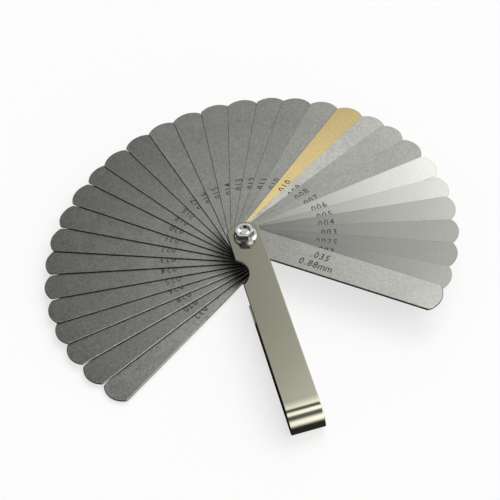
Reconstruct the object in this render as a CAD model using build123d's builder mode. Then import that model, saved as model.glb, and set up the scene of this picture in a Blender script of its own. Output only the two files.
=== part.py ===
"""Inch feeler gauge: thirty-two steel and brass blades fanned out on one pivot in a folded steel case.

Frame: +Z runs up the pivot axis and the case runs along -Y. The origin is on the pivot axis at the
case's underside, so the tool stands on Z = 0. All sizes are in millimetres.
"""

import os

from build123d import *

os.makedirs("parts", exist_ok=True)

# ---- blades -------------------------------------------------------------------------------------
INCH = 25.4
BLADE_WIDTH = 12.7  # half an inch
BLADE_REACH = 85.0  # pivot axis to tip
BLADE_TIP_RADIUS = 8.8  # the tip is one shallow arc across the blade
BLADE_TIP_CORNER = 1.6  # where that arc runs into the long edges
BLADE_BEVEL = 0.3  # bevel on the edges all round, as a part of the thickness
BLADE_BEVEL_FROM = 0.25  # thinner blades keep square edges
LAYER_GAP = 0.02  # air between neighbours in the stack
PIVOT_CLEARANCE = 0.05  # radial, blades on the sleeve

# Marking, thickness in inches, and the angle in degrees at which the blade stands in the fan,
# counted from +X. The list runs down the stack from the front leaf to the back leaf.
BLADES = [
    ("035", 0.035, -42.0),
    ("0015", 0.0015, -42.0),
    ("002", 0.002, -34.5),
    ("0025", 0.0025, -26.0),
    ("003", 0.003, -17.5),
    ("004", 0.004, -8.5),
    ("005", 0.005, -0.5),
    ("006", 0.006, 9.0),
    ("007", 0.007, 18.0),
    ("008", 0.008, 27.0),
    ("009", 0.009, 34.5),
    ("010_brass", 0.010, 43.0),
    ("010", 0.010, 51.5),
    ("011", 0.011, 60.5),
    ("012", 0.012, 68.5),
    ("013", 0.013, 77.5),
    ("014", 0.014, 86.0),
    ("015", 0.015, 95.0),
    ("016", 0.016, 103.5),
    ("017", 0.017, 112.0),
    ("018", 0.018, 121.0),
    ("019", 0.019, 128.5),
    ("020", 0.020, 137.5),
    ("021", 0.021, 146.5),
    ("022", 0.022, 155.5),
    ("023", 0.023, 164.0),
    ("024", 0.024, 173.0),
    ("025", 0.025, 182.0),
    ("026", 0.026, 190.0),
    ("028", 0.028, 198.5),
    ("030", 0.030, 207.5),
    ("032", 0.032, 216.5),
]

# ---- case: one steel strip folded round on itself --------------------------------------------------
STRIP = 0.9  # sheet thickness
CASE_LEFT = -6.9  # the front leaf's long sides
CASE_RIGHT = 6.4
CASE_SKEW = 0.45  # the fold is a little out of square, so the back leaf stands this much further right
CASE_HEAD_RADIUS = 8.0  # rounded pivot end
FOLD_START = -85.2  # the strip turns round from here, just past the blade tips
NOTCH_CENTRE = (-11.2, -17.8)  # thumb notch in both leaves
NOTCH_RADIUS = 8.0
EDGE_ROUND = 0.32  # rolled edges on the outside of the strip

# ---- pivot ----------------------------------------------------------------------------------------
SLEEVE_RADIUS = 2.5
SLEEVE_BORE = 1.95
SLEEVE_HEAD_RADIUS = 3.35
SLEEVE_FLOOR = 1.6  # closed end under the bore
SLEEVE_SHORT = 0.25  # the sleeve ends below the front leaf's face, so the screw clamps the leaf
HEAD_SINK = 0.05  # the sleeve's head lies this far inside the case's underside
SEAT_CLEARANCE = 0.02  # radial, sleeve in the two leaves
SCREW_RADIUS = 1.9
SCREW_TIP = 0.4  # bevel at the end of the screw
FLANGE_RADIUS = 4.8
FLANGE_FOOT = 4.4  # radius where the flange stands on the case
FLANGE_LIFT = 0.3  # the flange widens over this height
FLANGE_RIM = 0.65  # top of the straight part of the flange's edge
FLANGE_RISE = 0.5  # cone from the rim up to the hexagon
FLANGE_NECK = 3.95  # radius where the cone ends, just outside the hexagon
FLANGE_ROUND = 0.12
HEX_ACROSS_FLATS = 6.8
HEX_TURN = 39.0  # degrees from +X to the first corner
HEAD_HEIGHT = 3.9
HEAD_BEVEL = 0.3  # height of the bevel on the hexagon's corners
BEVEL_START = 0.15  # the bevel starts this far outside the hexagon's flats
BEVEL_OVER = 0.2  # the cutting cone reaches this far past the corners
INDENT_RADIUS = 2.55  # round hollow in the top of the head
INDENT_FOOT = 1.75  # its radius at the bottom
INDENT_CREST = 1.5  # radius of the raised middle
INDENT_DEPTH = 1.05
INDENT_BULGE = 0.12  # height of the raised middle

# ---- heights that follow ----------------------------------------------------------------------------
STACK = sum(inches for _, inches, _ in BLADES) * INCH + LAYER_GAP * (len(BLADES) + 1)
FRONT_UNDER = STRIP + STACK  # underside of the front leaf
CASE_TOP = FRONT_UNDER + STRIP
FOLD_HEIGHT = CASE_TOP / 2
HALF_WIDTH = BLADE_WIDTH / 2


def save(builder, label):
    """Label the finished piece and write it as its own node."""
    builder.part.label = label
    export_step(builder.part, f"parts/{label}.step")


def blade(thickness, angle, floor):
    """One blade at its place in the fan: round tail about the pivot, shallow round tip."""
    shoulder = BLADE_REACH - BLADE_TIP_RADIUS + (BLADE_TIP_RADIUS**2 - HALF_WIDTH**2) ** 0.5
    with BuildPart() as piece:
        with BuildSketch(Plane.XY.offset(floor).rotated((0, 0, angle))) as outline:
            with BuildLine():
                Line((0, HALF_WIDTH), (shoulder, HALF_WIDTH))
                ThreePointArc((shoulder, HALF_WIDTH), (BLADE_REACH, 0), (shoulder, -HALF_WIDTH))
                Line((shoulder, -HALF_WIDTH), (0, -HALF_WIDTH))
                ThreePointArc((0, -HALF_WIDTH), (-HALF_WIDTH, 0), (0, HALF_WIDTH))
            make_face()
            fillet(outline.vertices().group_by(Axis.X)[-1], BLADE_TIP_CORNER)
        extrude(amount=thickness)
        if thickness > BLADE_BEVEL_FROM:
            chamfer(piece.edges().filter_by(Axis.Z, reverse=True), BLADE_BEVEL * thickness)
        Hole(SLEEVE_RADIUS + PIVOT_CLEARANCE)
    return piece


# ---- the blades, from the front leaf down -----------------------------------------------------------
floor = FRONT_UNDER
for marking, inches, angle in BLADES:
    floor -= LAYER_GAP + inches * INCH
    save(blade(inches * INCH, angle, floor), f"blade_{marking}")

# ---- case -------------------------------------------------------------------------------------------
fold_far = FOLD_START - FOLD_HEIGHT
case_length = CASE_HEAD_RADIUS - fold_far

with BuildPart() as case:
    # the strip seen from its side: back leaf, round fold, front leaf
    with BuildSketch(Plane.YZ.offset(CASE_LEFT)):
        with BuildLine():
            Line((CASE_HEAD_RADIUS, 0), (FOLD_START, 0))
            ThreePointArc((FOLD_START, 0), (fold_far, FOLD_HEIGHT), (FOLD_START, CASE_TOP))
            Line((FOLD_START, CASE_TOP), (CASE_HEAD_RADIUS, CASE_TOP))
            Line((CASE_HEAD_RADIUS, CASE_TOP), (CASE_HEAD_RADIUS, FRONT_UNDER))
            Line((CASE_HEAD_RADIUS, FRONT_UNDER), (FOLD_START, FRONT_UNDER))
            ThreePointArc((FOLD_START, FRONT_UNDER), (fold_far + STRIP, FOLD_HEIGHT), (FOLD_START, STRIP))
            Line((FOLD_START, STRIP), (CASE_HEAD_RADIUS, STRIP))
            Line((CASE_HEAD_RADIUS, STRIP), (CASE_HEAD_RADIUS, 0))
        make_face()
    extrude(amount=CASE_RIGHT + CASE_SKEW - CASE_LEFT)

    # its long sides, which lean as the fold does
    with BuildSketch(Plane.XZ.offset(-CASE_HEAD_RADIUS)):
        with BuildLine():
            Polyline(
                (CASE_LEFT + CASE_SKEW, 0),
                (CASE_RIGHT + CASE_SKEW, 0),
                (CASE_RIGHT, CASE_TOP),
                (CASE_LEFT, CASE_TOP),
                close=True,
            )
        make_face()
    extrude(amount=case_length, mode=Mode.INTERSECT)

    # the rounded pivot end of both leaves
    with BuildSketch():
        with Locations((0, CASE_HEAD_RADIUS / 2)):
            Rectangle(3 * CASE_HEAD_RADIUS, CASE_HEAD_RADIUS)
        Circle(CASE_HEAD_RADIUS, mode=Mode.SUBTRACT)
    extrude(amount=CASE_TOP, mode=Mode.SUBTRACT)

    # the thumb notch through both leaves
    with BuildSketch():
        with Locations(NOTCH_CENTRE):
            Circle(NOTCH_RADIUS)
    extrude(amount=CASE_TOP, mode=Mode.SUBTRACT)

    # rolled edges all round the outside of the strip
    back_face = case.faces().sort_by(Axis.Z)[0]
    front_face = case.faces().sort_by(Axis.Z)[-1]
    fold_face = case.faces().filter_by(GeomType.CYLINDER).sort_by(Axis.Y)[0]
    outline = back_face.edges() + front_face.edges() + fold_face.edges()
    fillet(outline.filter_by(Axis.X, reverse=True), EDGE_ROUND)

    # the pivot holes: plain in the front leaf, countersunk in the back leaf
    with BuildSketch():
        Circle(SLEEVE_RADIUS + SEAT_CLEARANCE)
    extrude(amount=CASE_TOP, mode=Mode.SUBTRACT)
    with BuildSketch(Plane.XZ):
        with BuildLine():
            Polyline(
                (0, 0),
                (SLEEVE_HEAD_RADIUS + SEAT_CLEARANCE, 0),
                (SLEEVE_HEAD_RADIUS + SEAT_CLEARANCE, HEAD_SINK),
                (SLEEVE_RADIUS + SEAT_CLEARANCE, STRIP),
                (0, STRIP),
                close=True,
            )
        make_face()
    revolve(axis=Axis.Z, mode=Mode.SUBTRACT)
save(case, "case")

# ---- pivot sleeve: staked in the back leaf, the blades turn on it --------------------------------------
with BuildPart() as sleeve:
    with BuildSketch(Plane.XZ):
        with BuildLine():
            Polyline(
                (0, HEAD_SINK),
                (SLEEVE_HEAD_RADIUS, HEAD_SINK),
                (SLEEVE_RADIUS, STRIP),
                (SLEEVE_RADIUS, CASE_TOP - SLEEVE_SHORT),
                (SLEEVE_BORE, CASE_TOP - SLEEVE_SHORT),
                (SLEEVE_BORE, SLEEVE_FLOOR),
                (0, SLEEVE_FLOOR),
                close=True,
            )
        make_face()
    revolve(axis=Axis.Z)
save(sleeve, "pivot_sleeve")

# ---- pivot screw: flanged hexagon head with a hollow top ------------------------------------------------
head_top = CASE_TOP + HEAD_HEIGHT
rim_top = CASE_TOP + FLANGE_RIM
flange_top = rim_top + FLANGE_RISE
hex_corner = HEX_ACROSS_FLATS / 3**0.5

with BuildPart() as screw:
    # the hexagon, its corners bevelled by a cone
    with BuildSketch(Plane.XY.offset(CASE_TOP)):
        RegularPolygon(hex_corner, 6, rotation=HEX_TURN)
    extrude(amount=HEAD_HEIGHT)
    with BuildSketch(Plane.XZ):
        with BuildLine():
            Polyline(
                (HEX_ACROSS_FLATS / 2 + BEVEL_START, head_top),
                (hex_corner + BEVEL_OVER, head_top),
                (hex_corner + BEVEL_OVER, head_top - HEAD_BEVEL),
                close=True,
            )
        make_face()
    revolve(axis=Axis.Z, mode=Mode.SUBTRACT)

    # flange and shank
    with BuildSketch(Plane.XZ):
        with BuildLine():
            Polyline(
                (0, SLEEVE_FLOOR + SCREW_TIP),
                (SCREW_RADIUS - SCREW_TIP, SLEEVE_FLOOR + SCREW_TIP),
                (SCREW_RADIUS, SLEEVE_FLOOR + 2 * SCREW_TIP),
                (SCREW_RADIUS, CASE_TOP),
                (FLANGE_FOOT, CASE_TOP),
                (FLANGE_RADIUS, CASE_TOP + FLANGE_LIFT),
                (FLANGE_RADIUS, rim_top),
                (FLANGE_NECK, flange_top),
                (0, flange_top),
                close=True,
            )
        make_face()
    revolve(axis=Axis.Z)

    # the hollow in the top, its floor raised in the middle
    with BuildSketch(Plane.XZ):
        with BuildLine():
            Polyline(
                (0, head_top),
                (INDENT_RADIUS, head_top),
                (INDENT_FOOT, head_top - INDENT_DEPTH),
                (INDENT_CREST, head_top - INDENT_DEPTH + INDENT_BULGE),
                (0, head_top - INDENT_DEPTH + INDENT_BULGE),
                close=True,
            )
        make_face()
    revolve(axis=Axis.Z, mode=Mode.SUBTRACT)

    circles = screw.edges().filter_by(GeomType.CIRCLE)
    fillet(circles.filter_by_position(Axis.Z, rim_top, rim_top), FLANGE_ROUND)
save(screw, "pivot_screw")

print(f"stack {STACK:.2f}, case {CASE_TOP:.2f} thick and {case_length:.1f} long")
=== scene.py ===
"""Looks for the feeler gauge: steel, brass and nickel finishes, the size numbers etched on the blades, floor,
light and camera. Lengths are in metres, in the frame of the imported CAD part."""

import math
import random

import bpy
from mathutils import Matrix, Vector


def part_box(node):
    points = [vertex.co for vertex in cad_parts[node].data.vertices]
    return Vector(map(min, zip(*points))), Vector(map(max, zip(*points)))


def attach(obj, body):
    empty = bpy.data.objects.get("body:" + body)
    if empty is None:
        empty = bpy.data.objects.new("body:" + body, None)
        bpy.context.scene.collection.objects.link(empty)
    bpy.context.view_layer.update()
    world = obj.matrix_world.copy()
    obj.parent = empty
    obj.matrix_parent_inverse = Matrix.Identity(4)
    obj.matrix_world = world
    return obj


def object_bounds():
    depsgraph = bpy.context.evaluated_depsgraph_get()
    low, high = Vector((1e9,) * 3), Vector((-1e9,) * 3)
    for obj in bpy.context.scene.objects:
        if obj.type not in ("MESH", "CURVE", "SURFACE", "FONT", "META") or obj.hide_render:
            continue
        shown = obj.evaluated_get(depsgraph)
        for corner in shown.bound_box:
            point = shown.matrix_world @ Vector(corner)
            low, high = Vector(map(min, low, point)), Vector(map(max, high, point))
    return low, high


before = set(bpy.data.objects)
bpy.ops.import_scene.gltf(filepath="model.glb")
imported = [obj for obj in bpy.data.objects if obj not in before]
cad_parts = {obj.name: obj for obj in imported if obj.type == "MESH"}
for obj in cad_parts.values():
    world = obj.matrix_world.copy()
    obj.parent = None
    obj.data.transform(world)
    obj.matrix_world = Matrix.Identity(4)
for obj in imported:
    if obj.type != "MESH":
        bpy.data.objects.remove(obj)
CAD_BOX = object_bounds()
SCENE = bpy.context.scene
MM = 0.001
INCH = 25.4  # in millimetres, for the written sizes only

# The blades from the front leaf down: node, angle of its length from +X in degrees, size in inches, finish.
BLADES = [
    ("blade_035", -42.0, ".035", "worn"),
    ("blade_0015", -42.0, ".0015", "shim"),
    ("blade_002", -34.5, ".002", "shim"),
    ("blade_0025", -26.0, ".0025", "shim"),
    ("blade_003", -17.5, ".003", "shim"),
    ("blade_004", -8.5, ".004", "shim"),
    ("blade_005", -0.5, ".005", "shim"),
    ("blade_006", 9.0, ".006", "shim"),
    ("blade_007", 18.0, ".007", "satin"),
    ("blade_008", 27.0, ".008", "satin"),
    ("blade_009", 34.5, ".009", "rough"),
    ("blade_010_brass", 43.0, ".010", "brass"),
    ("blade_010", 51.5, ".010", "plain"),
    ("blade_011", 60.5, ".011", "ground"),
    ("blade_012", 68.5, ".012", "ground"),
    ("blade_013", 77.5, ".013", "ground"),
    ("blade_014", 86.0, ".014", "ground"),
    ("blade_015", 95.0, ".015", "ground"),
    ("blade_016", 103.5, ".016", "ground"),
    ("blade_017", 112.0, ".017", "dark"),
    ("blade_018", 121.0, ".018", "dark"),
    ("blade_019", 128.5, ".019", "dark"),
    ("blade_020", 137.5, ".020", "dark"),
    ("blade_021", 146.5, ".021", "dark"),
    ("blade_022", 155.5, ".022", "dark"),
    ("blade_023", 164.0, ".023", "dark"),
    ("blade_024", 173.0, ".024", "dark"),
    ("blade_025", 182.0, ".025", "dark"),
    ("blade_026", 190.0, ".026", "dark"),
    ("blade_028", 198.5, ".028", "dark"),
    ("blade_030", 207.5, ".030", "dark"),
    ("blade_032", 216.5, ".032", "dark"),
]
BLADE_HALF_WIDTH = 6.35 * MM
BLADE_REACH = 85.0 * MM  # pivot axis to tip
BLADE_TIP_RADIUS = 8.8 * MM  # the tip is one shallow arc across the blade
BLADE_TIP_CENTRE = BLADE_REACH - BLADE_TIP_RADIUS


# ---------------------------------------------------------------- camera
SENSOR = 36.0
LENS = 108.5
LENS_SHIFT = (0.08, 0.04)
CAMERA_PLACE = (-0.0413, -0.4075, 0.4642)
AZIMUTH, ELEVATION, ROLL = -3.42, 48.627, -12.787  # degrees


def set_camera():
    """A long lens from the front and above, rolled a little."""
    lens_data = bpy.data.cameras.new("camera")
    lens_data.sensor_width = SENSOR
    lens_data.lens = LENS
    lens_data.shift_x, lens_data.shift_y = LENS_SHIFT
    camera = bpy.data.objects.new("camera", lens_data)
    SCENE.collection.objects.link(camera)
    azimuth, elevation, roll = (math.radians(a) for a in (AZIMUTH, ELEVATION, ROLL))
    turn = Matrix.Rotation(azimuth, 4, "Z") @ Matrix.Rotation(math.pi / 2 - elevation, 4, "X")
    camera.matrix_world = Matrix.Translation(CAMERA_PLACE) @ turn @ Matrix.Rotation(roll, 4, "Z")
    SCENE.camera = camera


# ---------------------------------------------------------------- materials
def node(tree, kind, inputs=None, **settings):
    """A new node. An input is a value, or another node's output to link."""
    made = tree.nodes.new(kind)
    for key, value in settings.items():
        setattr(made, key, value)
    for key, value in (inputs or {}).items():
        if isinstance(value, bpy.types.NodeSocket):
            tree.links.new(value, made.inputs[key])
        else:
            made.inputs[key].default_value = value
    return made


def maths(tree, operation, a, b=0.0, c=0.0, clamp=False):
    """The output of a Math node. Its inputs are numbers or outputs to link."""
    return node(tree, "ShaderNodeMath", {0: a, 1: b, 2: c}, operation=operation, use_clamp=clamp).outputs[0]


def noise(tree, place, scale, detail=2.0, roughness=0.5, stretch=(1, 1, 1), turn=0.0):
    """Noise about 0, from -0.5 to 0.5. The place is turned about Z, in degrees, then scaled by stretch."""
    spin = node(tree, "ShaderNodeMapping", {"Vector": place, "Rotation": (0, 0, math.radians(turn))})
    wide = node(tree, "ShaderNodeMapping", {"Vector": spin.outputs[0], "Scale": stretch})
    made = node(
        tree,
        "ShaderNodeTexNoise",
        {"Vector": wide.outputs[0], "Scale": scale, "Detail": detail, "Roughness": roughness},
    )
    return maths(tree, "SUBTRACT", made.outputs["Fac"], 0.5)


# Scales of the noise, in waves per metre.
FINE_SCALE = 1500.0  # speckle
COARSE_SCALE = 800.0
BROAD_SCALE = 80.0  # clouds
GRAIN_SCALE = 6000.0  # lines along the blade
GRAIN_STRETCH = (0.03, 1.0, 1.0)
PATCH_SCALE = 160.0  # where scratches gather
SCRATCH_STRETCH = (0.03, 1.0, 0.2)
SCRATCH_PATCHY = 0.5  # how much they gather
SCRATCH_SHARP = 14.0  # how fast a scratch's side rises
SCRATCHES = [(38.0, 900.0, 0.33), (-14.0, 1100.0, 0.36)]  # turn in degrees, scale, how rare


def scratches(tree, place, turn, scale, rare):
    """Sparse thin lines at a turn to the blade's length: 1 on a line, 0 off it."""
    line = noise(tree, place, scale, detail=1.0, stretch=SCRATCH_STRETCH, turn=turn)
    patch = noise(tree, place, PATCH_SCALE, detail=1.0)
    both = maths(tree, "MULTIPLY_ADD", patch, SCRATCH_PATCHY, line)
    over = maths(tree, "SUBTRACT", both, rare)
    return maths(tree, "MULTIPLY", over, SCRATCH_SHARP, clamp=True)


EDGE_HIGHLIGHT = 0.30 * MM  # the painted highlight band's middle, inside the edge
HIGHLIGHT_REACH = 0.18 * MM  # its half width
FADE_MIDDLE = 55 * MM  # from the pivot, where a blade has its own tone
FADE_LENGTH = 58 * MM  # over this length the tone changes by the whole of fade
PIVOT_SHADE_REACH = 9 * MM  # painted shade under the front leaf: full from the pivot as far as this
PIVOT_SHADE_FADE = 8 * MM  # and gone this much further out
BUMP_STRENGTH = 0.10
BUMP_DEPTH = 0.01 * MM
FINE_OVER_COARSE = 1.2  # speckle: how much fine noise goes with the coarse
FINE_OVER_LINES = 1.5  # relief: how much fine noise goes with the grain
# How much of each change in colour the roughness gets.
GLOSS_SPECKLE, GLOSS_CLOUD, GLOSS_SCRATCH = 0.4, 0.5, -0.5


def from_edge(tree, along):
    """How far inside a blade's outline a point is, in metres: 0 on the edge itself."""
    parts = node(tree, "ShaderNodeSeparateXYZ", {0: along})
    across = maths(tree, "ABSOLUTE", parts.outputs["Y"])
    past = maths(tree, "MAXIMUM", maths(tree, "SUBTRACT", parts.outputs["X"], BLADE_TIP_CENTRE), 0.0)
    arm = node(tree, "ShaderNodeCombineXYZ", {0: past, 1: across})
    reach = node(tree, "ShaderNodeVectorMath", {0: arm.outputs[0]}, operation="LENGTH").outputs["Value"]
    side = maths(tree, "SUBTRACT", BLADE_HALF_WIDTH, across)
    end = maths(tree, "SUBTRACT", BLADE_TIP_RADIUS, reach)
    return maths(tree, "MINIMUM", side, end)


def edges(tree, along, dark, wide, light):
    """A factor for the colour: painted shade, dark on the cut edge and for a width inside it, a painted
    highlight, light on the band round EDGE_HIGHLIGHT inside, and 1 further in. dark and light are how much."""
    inside = from_edge(tree, along)
    cut = maths(tree, "MULTIPLY_ADD", inside, -1.0 / wide, 2.0, clamp=True)
    away = maths(tree, "ABSOLUTE", maths(tree, "SUBTRACT", inside, EDGE_HIGHLIGHT))
    band = maths(tree, "MULTIPLY_ADD", away, -1.0 / HIGHLIGHT_REACH, 1.0, clamp=True)
    lighter = maths(tree, "MULTIPLY_ADD", band, light, 1.0)
    darker = maths(tree, "MULTIPLY_ADD", cut, -dark, 1.0)
    return maths(tree, "MULTIPLY", lighter, darker)


def metal(
    name,
    colour,
    roughness,
    angle=None,
    fade=0.0,
    edge=0.0,
    wide=0.10 * MM,
    rim=0.0,
    pivot_shade=0.0,
    walls=0.0,
    mottle=0.1,
    cloud=0.1,
    grain=0.1,
    scratch=0.1,
):
    """A bare metal. mottle, cloud, grain and scratch are how strongly each changes the colour, and all but
    grain change the gloss too. walls is how much darker the upright faces are, as painted shade. A blade has
    the angle of its length and, for its colour, fade, which is how much it changes from pivot to tip, partly
    its own tone and partly painted light, edge and wide, which are how dark and how wide the painted shade on
    its cut edges is, rim, which is how light the painted highlight along them is, and pivot_shade, which is
    how dark the painted shade near the pivot is."""
    material = bpy.data.materials.new(name)
    material.use_nodes = True
    tree = material.node_tree
    shader = tree.nodes["Principled BSDF"]
    shader.inputs["Metallic"].default_value = 1.0

    surface = node(tree, "ShaderNodeTexCoord")
    place = surface.outputs["Object"]
    turned = {"Vector": place, "Rotation": (0, 0, math.radians(-(angle or 0.0)))}
    along = node(tree, "ShaderNodeMapping", turned).outputs[0]
    fine = noise(tree, along, FINE_SCALE, detail=2.0, roughness=0.6)
    coarse = noise(tree, along, COARSE_SCALE, detail=3.0)
    broad = noise(tree, along, BROAD_SCALE, detail=3.0)
    lines = noise(tree, along, GRAIN_SCALE, detail=2.0, stretch=GRAIN_STRETCH)
    marks = maths(tree, "ADD", *[scratches(tree, along, *one) for one in SCRATCHES], clamp=True)

    speckle = maths(tree, "MULTIPLY_ADD", fine, FINE_OVER_COARSE, coarse)
    shade = maths(tree, "MULTIPLY_ADD", speckle, mottle, 1.0)
    shade = maths(tree, "MULTIPLY_ADD", broad, cloud, shade)
    shade = maths(tree, "MULTIPLY_ADD", lines, grain, shade)
    shade = maths(tree, "MULTIPLY_ADD", marks, scratch, shade)
    # From pivot to tip the tone drifts: partly the blade's own tone, partly painted light along it.
    if angle is not None:
        length = node(tree, "ShaderNodeSeparateXYZ", {0: along}).outputs["X"]
        at_pivot = 1.0 - fade * FADE_MIDDLE / FADE_LENGTH
        drift = maths(tree, "MULTIPLY_ADD", length, fade / FADE_LENGTH, at_pivot)
        shade = maths(tree, "MULTIPLY", shade, drift)
        # Painted shade on and along the cut edges, and a painted highlight on a band inside them.
        shade = maths(tree, "MULTIPLY", shade, edges(tree, along, edge, wide, rim))
        # Painted shade near the pivot, where the front leaf shades the blades.
        unshaded = maths(tree, "MULTIPLY_ADD", length, 1.0 / PIVOT_SHADE_FADE, -PIVOT_SHADE_REACH / PIVOT_SHADE_FADE, clamp=True)
        pivot_shade_factor = maths(tree, "MULTIPLY_ADD", unshaded, pivot_shade, 1.0 - pivot_shade)
        shade = maths(tree, "MULTIPLY", shade, pivot_shade_factor)
    # Painted shade: the upright faces are made darker than the level ones.
    if walls:
        facing = node(tree, "ShaderNodeSeparateXYZ", {0: surface.outputs["Normal"]}).outputs["Z"]
        level = maths(tree, "ABSOLUTE", facing)
        shade = maths(tree, "MULTIPLY", shade, maths(tree, "MULTIPLY_ADD", level, walls, 1.0 - walls))
    base = node(tree, "ShaderNodeVectorMath", {0: colour, "Scale": shade}, operation="SCALE").outputs[0]
    tree.links.new(base, shader.inputs["Base Color"])

    gloss = maths(tree, "MULTIPLY_ADD", speckle, GLOSS_SPECKLE * mottle, roughness)
    gloss = maths(tree, "MULTIPLY_ADD", broad, GLOSS_CLOUD * cloud, gloss)
    gloss = maths(tree, "MULTIPLY_ADD", marks, GLOSS_SCRATCH * scratch, gloss, clamp=True)
    tree.links.new(gloss, shader.inputs["Roughness"])

    height = maths(tree, "MULTIPLY_ADD", fine, FINE_OVER_LINES, lines)
    bump = node(tree, "ShaderNodeBump", {"Strength": BUMP_STRENGTH, "Distance": BUMP_DEPTH, "Height": height})
    tree.links.new(bump.outputs[0], shader.inputs["Normal"])
    return material


ETCH_PALE = 0.16  # tone at depth 0
ETCH_FALL = 0.14  # how much darker at depth 1
ETCH_BLOTCH = 0.15
ETCH_BLOTCH_SCALE = 2500.0
ETCH_DEPTH = (0.45, 0.9)  # the blades' marks are between these depths


def etch(name, depth):
    """Dark, slightly uneven laser etching. depth from 0 to 1 is how dark."""
    material = bpy.data.materials.new(name)
    material.use_nodes = True
    tree = material.node_tree
    shader = tree.nodes["Principled BSDF"]
    shader.inputs["Metallic"].default_value = 0.6
    shader.inputs["Roughness"].default_value = 0.55
    place = node(tree, "ShaderNodeTexCoord").outputs["Object"]
    blotch = noise(tree, place, ETCH_BLOTCH_SCALE)
    shade = maths(tree, "MULTIPLY_ADD", blotch, ETCH_BLOTCH, ETCH_PALE - ETCH_FALL * depth)
    colour = node(tree, "ShaderNodeCombineColor", {0: shade, 1: shade, 2: shade})
    tree.links.new(colour.outputs[0], shader.inputs["Base Color"])
    return material


# The metals' colours, for a tone of 1.
STEEL = Vector((1.0, 1.005, 0.93))
BRASS = Vector((1.0, 0.79, 0.38))
# In these, edge and wide set the painted shade on the cut edges, and rim the painted highlight along them.
GROUND = dict(roughness=0.40, mottle=0.55, cloud=0.22, grain=0.10, scratch=0.9, edge=0.85, rim=0.30)
SHIM = dict(roughness=0.30, mottle=0.16, cloud=0.08, grain=0.05, scratch=0.06, edge=0.25)
SMOOTH = dict(cloud=0.02, grain=0.0, scratch=0.0)
CASE = dict(mottle=0.04, cloud=0.06, grain=0.02, scratch=0.03)
# How metal() makes each finish.
FINISH = {
    # The dark blades get painted shade near the pivot.
    "dark": dict(GROUND, wide=0.015 * MM, rim=0.2, pivot_shade=0.75),
    "ground": dict(GROUND, wide=0.12 * MM, rim=0.15),
    "plain": dict(GROUND, edge=0.4, rim=0.1),
    "satin": dict(GROUND, edge=0.3, rim=0.1, mottle=0.45),
    "rough": dict(GROUND, edge=0.3, rim=0.1, mottle=0.6),
    "worn": dict(GROUND, edge=0.3, rim=0.3, mottle=0.55, cloud=0.25),
    "shim": SHIM,
    "brass": dict(SHIM, grain=0.14, edge=0.8, wide=0.14 * MM),
}
# How light each finish is at FADE_MIDDLE, and how much lighter it gets from pivot to tip; that change is
# partly the blade's own tone and partly painted light along it. Some blades have tones of their own: the thin
# ones have no dark edges, so these set them apart from each other, .004 to .006 get paler one by one, and the
# last in the stack is paler than its neighbours.
TONES = {
    "worn": (0.40, 0.20),
    "shim": (0.27, 0.40),
    "satin": (0.37, 0.20),
    "rough": (0.50, -0.20),
    "brass": (0.70, -0.45),
    "plain": (0.33, 0.0),
    "ground": (0.28, -0.10),
    "dark": (0.24, -0.28),
}
OWN_TONES = {
    "blade_0025": (0.26, 0.20),
    "blade_003": (0.29, 0.20),
    "blade_004": (0.35, 0.45),
    "blade_005": (0.50, 0.45),
    "blade_006": (0.60, 0.45),
    "blade_007": (0.36, 0.05),
    "blade_032": (0.30, -0.28),
}
# The case and the two parts of the pivot: name, colour, roughness and the rest of the finish.
FITTINGS = {
    "case": ("case_nickel", (0.414, 0.406, 0.318), 0.12, CASE),
    # The screw's upright faces get painted shade through walls.
    "pivot_screw": ("screw_plating", (0.92, 0.92, 0.90), 0.10, dict(SMOOTH, mottle=0.06, walls=0.72)),
    "pivot_sleeve": ("sleeve_plating", (0.48, 0.48, 0.465), 0.22, dict(SMOOTH, mottle=0.04)),
}


# ---------------------------------------------------------------- size numbers
GLYPHS = {}
STROKE = 0.012  # how much each stroke is thickened, as a part of the font's size
CAP_HEIGHT = 3.0 * MM  # of a written digit
MARK_THICK = 0.010 * MM
MARK_PROUD = 0.008 * MM  # how far a mark stands above the blade
INCH_LINE = 0.7 * MM  # baselines, from the blade's middle
METRIC_LINE = -4.0 * MM
INCH_END = 36.7 * MM  # where the inch size ends and the metric one starts, from the pivot
METRIC_START = 25.3 * MM
MARK_SLIDE = 0.7 * MM  # how much a blade's marks may be out of place along it
MARK_RISE = 0.25 * MM  # and across it


def glyph(letter):
    """One character as a solid in a font of size 1: its corners and its faces. The baseline is at y = 0, and
    z runs from -0.5 to 0.5."""
    if letter not in GLYPHS:
        curve = bpy.data.curves.new("glyph", "FONT")
        curve.body = letter
        curve.size = 1.0
        curve.extrude = 0.5
        curve.offset = STROKE
        curve.resolution_u = 4
        shape = bpy.data.objects.new("glyph", curve)
        SCENE.collection.objects.link(shape)
        bpy.context.view_layer.update()
        mesh = bpy.data.meshes.new_from_object(shape)
        GLYPHS[letter] = ([v.co.copy() for v in mesh.vertices], [list(p.vertices) for p in mesh.polygons])
        bpy.data.objects.remove(shape)
        bpy.data.curves.remove(curve)
        bpy.data.meshes.remove(mesh)
    return GLYPHS[letter]


# A digit's height and width in that font, its pitch and width as written, and those of the dot and the m.
DIGIT_TALL = max(p.y for p in glyph("1")[0])
DIGIT_NATURAL = max(p.x for p in glyph("0")[0]) - min(p.x for p in glyph("0")[0])
DIGIT_PITCH = 2.35 * MM
DIGIT_WIDE = 1.75 * MM
PITCH = {".": 1.45 * MM, "m": 3.15 * MM}
WIDE = {".": 0.45 * MM, "m": 2.75 * MM}


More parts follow.
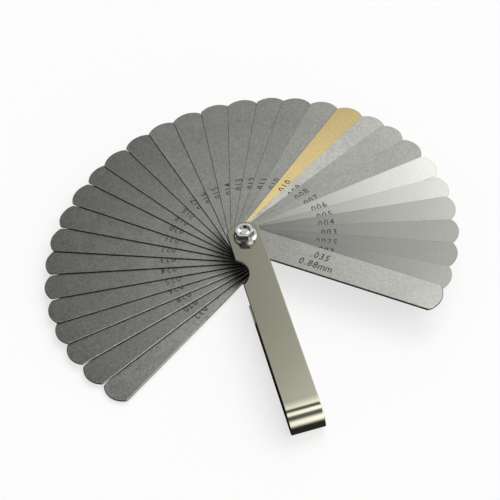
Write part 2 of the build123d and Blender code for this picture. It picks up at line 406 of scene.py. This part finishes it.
def write(text, start, baseline, points, faces):
    """Adds a line of text to points and faces, along +X from start."""
    x = start
    for letter in text:
        corners, sides = glyph(letter)
        left = min(p.x for p in corners)
        wide = max(p.x for p in corners) - left
        tall = CAP_HEIGHT / DIGIT_TALL
        pitch = PITCH.get(letter, DIGIT_PITCH)
        size = WIDE.get(letter, wide * DIGIT_WIDE / DIGIT_NATURAL)
        first = len(points)
        for p in corners:
            across = (p.x - left) / wide * size + 0.5 * (pitch - size)
            points.append(Vector((x + across, baseline + p.y * tall, p.z * MARK_THICK)))
        faces.extend([first + i for i in side] for side in sides)
        x += pitch


def metric(inches):
    """The size in millimetres, cut to two places, or three below a tenth of a millimetre."""
    size = inches * INCH
    places = 3 if size < 0.1 else 2
    cut = math.floor(size * 10**places + 1e-6) / 10**places
    return f"{cut:.{places}f}mm"


def add_marks(blade, angle, size, chance):
    """The two lines of numbers on a blade's upper face."""
    points, faces = [], []
    slide = chance.uniform(-MARK_SLIDE, MARK_SLIDE)
    rise = chance.uniform(-MARK_RISE, MARK_RISE)
    start = INCH_END + slide - (len(size) - 1) * DIGIT_PITCH - PITCH["."]
    write(size, start, INCH_LINE + rise, points, faces)
    write(metric(float(size)), METRIC_START + slide, METRIC_LINE + rise, points, faces)
    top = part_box(blade)[1].z
    turn = Matrix.Rotation(math.radians(angle), 4, "Z")
    lift = Vector((0, 0, top + MARK_PROUD - 0.5 * MARK_THICK))
    tail = blade.removeprefix("blade_")
    mesh = bpy.data.meshes.new(f"mark_{tail}")
    mesh.from_pydata([turn @ p + lift for p in points], [], faces)
    mesh.materials.append(etch(f"etch_{tail}", chance.uniform(*ETCH_DEPTH)))
    piece = bpy.data.objects.new(mesh.name, mesh)
    SCENE.collection.objects.link(piece)
    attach(piece, blade)


# ---------------------------------------------------------------- light and floor
# The room's brightness by lean, which is the angle in degrees from straight up towards the front. Behind, it
# is dim and rises towards the top. Ahead are a dark gap, a ceiling light, a dark stretch and a bright low
# wall.
ROOM = [
    (-100, 0.03),
    (-88, 0.15),
    (-60, 0.24),
    (-48, 0.35),
    (-38, 0.39),
    (-36.5, 0.55),
    (-35, 0.72),
    (-20, 0.88),
    (-9, 1.15),
    (2, 1.15),
    (7, 0.12),
    (20, 0.12),
    (26, 1.40),
    (40, 1.50),
    (46, 0.30),
    (52, 0.14),
    (65, 0.14),
    (76, 1.00),
    (84, 1.50),
    (98, 1.50),
    (108, 0.90),
    (118, 0.16),
    (128, 0.03),
]
ROOM_TOP = 2.0  # the ramp holds colours up to 1, so its tones are parts of this
ROOM_STRENGTH = 1.5
ROOM_PALE = 0.97  # what the camera sees
# From left to right, x from -1 to 1, the room brightens as exp(RIGHT_RATE x + RIGHT_START), between limits.
# At the far right that is dimmed by the factor FAR_RATE x + FAR_START, which doesn't go below FAR_LEAST.
RIGHT_RATE, RIGHT_START = 6.4, -0.45
RIGHT_LEAST, RIGHT_MOST = 0.15, 2.4
FAR_RATE, FAR_START = -3.0, 2.8
FAR_LEAST = 0.42


def set_world():
    """A room that is brighter to the right. The camera itself sees plain pale."""
    world = bpy.data.worlds.new("room")
    world.use_nodes = True
    SCENE.world = world
    tree = world.node_tree
    place = node(tree, "ShaderNodeTexCoord").outputs["Generated"]
    parts = node(tree, "ShaderNodeSeparateXYZ", {0: place})
    ahead = maths(tree, "MULTIPLY", parts.outputs["Y"], -1.0)
    lean = maths(tree, "ARCTAN2", ahead, parts.outputs["Z"])
    fraction = maths(tree, "MULTIPLY_ADD", lean, 0.5 / math.pi, 0.5)
    ramp = node(tree, "ShaderNodeValToRGB", {"Fac": fraction})
    while len(ramp.color_ramp.elements) < len(ROOM):
        ramp.color_ramp.elements.new(0.5)
    for element, (degrees, tone) in zip(ramp.color_ramp.elements, ROOM):
        element.position = degrees / 360 + 0.5
        element.color = (tone / ROOM_TOP, tone / ROOM_TOP, tone / ROOM_TOP, 1)
    right = maths(tree, "EXPONENT", maths(tree, "MULTIPLY_ADD", parts.outputs["X"], RIGHT_RATE, RIGHT_START))
    right = maths(tree, "MINIMUM", maths(tree, "MAXIMUM", right, RIGHT_LEAST), RIGHT_MOST)
    beyond = maths(tree, "MULTIPLY_ADD", parts.outputs["X"], FAR_RATE, FAR_START, clamp=True)
    right = maths(tree, "MULTIPLY", right, maths(tree, "MAXIMUM", beyond, FAR_LEAST))
    room = tree.nodes["Background"]
    tree.links.new(ramp.outputs[0], room.inputs[0])
    tree.links.new(maths(tree, "MULTIPLY", right, ROOM_TOP * ROOM_STRENGTH), room.inputs[1])
    pale = node(tree, "ShaderNodeBackground", {"Color": (ROOM_PALE, ROOM_PALE, ROOM_PALE, 1)})
    seen = node(tree, "ShaderNodeLightPath").outputs["Is Camera Ray"]
    mixed = node(tree, "ShaderNodeMixShader", {0: seen, 1: room.outputs[0], 2: pale.outputs[0]})
    tree.links.new(mixed.outputs[0], tree.nodes["World Output"].inputs["Surface"])


FLOOR_HALF = 40.0  # half its width
FLOOR_GAP = 0.1 * MM  # between it and the case
FLOOR_TONE = 0.265
FLOOR_GLOW = 0.70


def set_floor():
    """A wide pale floor under the gauge. It glows a little, so that it looks evenly pale."""
    corners = [(x * FLOOR_HALF, y * FLOOR_HALF, 0) for x, y in ((-1, -1), (1, -1), (1, 1), (-1, 1))]
    mesh = bpy.data.meshes.new("floor")
    mesh.from_pydata(corners, [], [(0, 1, 2, 3)])
    floor = bpy.data.objects.new("floor", mesh)
    floor.location.z = CAD_BOX[0].z - FLOOR_GAP
    SCENE.collection.objects.link(floor)
    material = bpy.data.materials.new("floor")
    material.use_nodes = True
    shader = material.node_tree.nodes["Principled BSDF"]
    shader.inputs["Base Color"].default_value = (FLOOR_TONE, FLOOR_TONE, FLOOR_TONE, 1)
    shader.inputs["Roughness"].default_value = 0.9
    shader.inputs["Specular IOR Level"].default_value = 0.1
    shader.inputs["Emission Color"].default_value = (1, 1, 0.995, 1)
    shader.inputs["Emission Strength"].default_value = FLOOR_GLOW
    mesh.materials.append(material)
    floor.visible_glossy = False


set_camera()

dice = random.Random(35)
for blade, angle, size, finish in BLADES:
    tone, fade = OWN_TONES.get(blade, TONES[finish])
    colour = tone * (BRASS if finish == "brass" else STEEL)
    look = metal(f"{blade}_{finish}", colour, angle=angle, fade=fade, **FINISH[finish])
    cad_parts[blade].material_slots[0].material = look
    add_marks(blade, angle, size, dice)

for part, (name, colour, roughness, rest) in FITTINGS.items():
    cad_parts[part].material_slots[0].material = metal(name, colour, roughness, **rest)

set_world()
set_floor()
SCENE.view_settings.view_transform = "Standard"
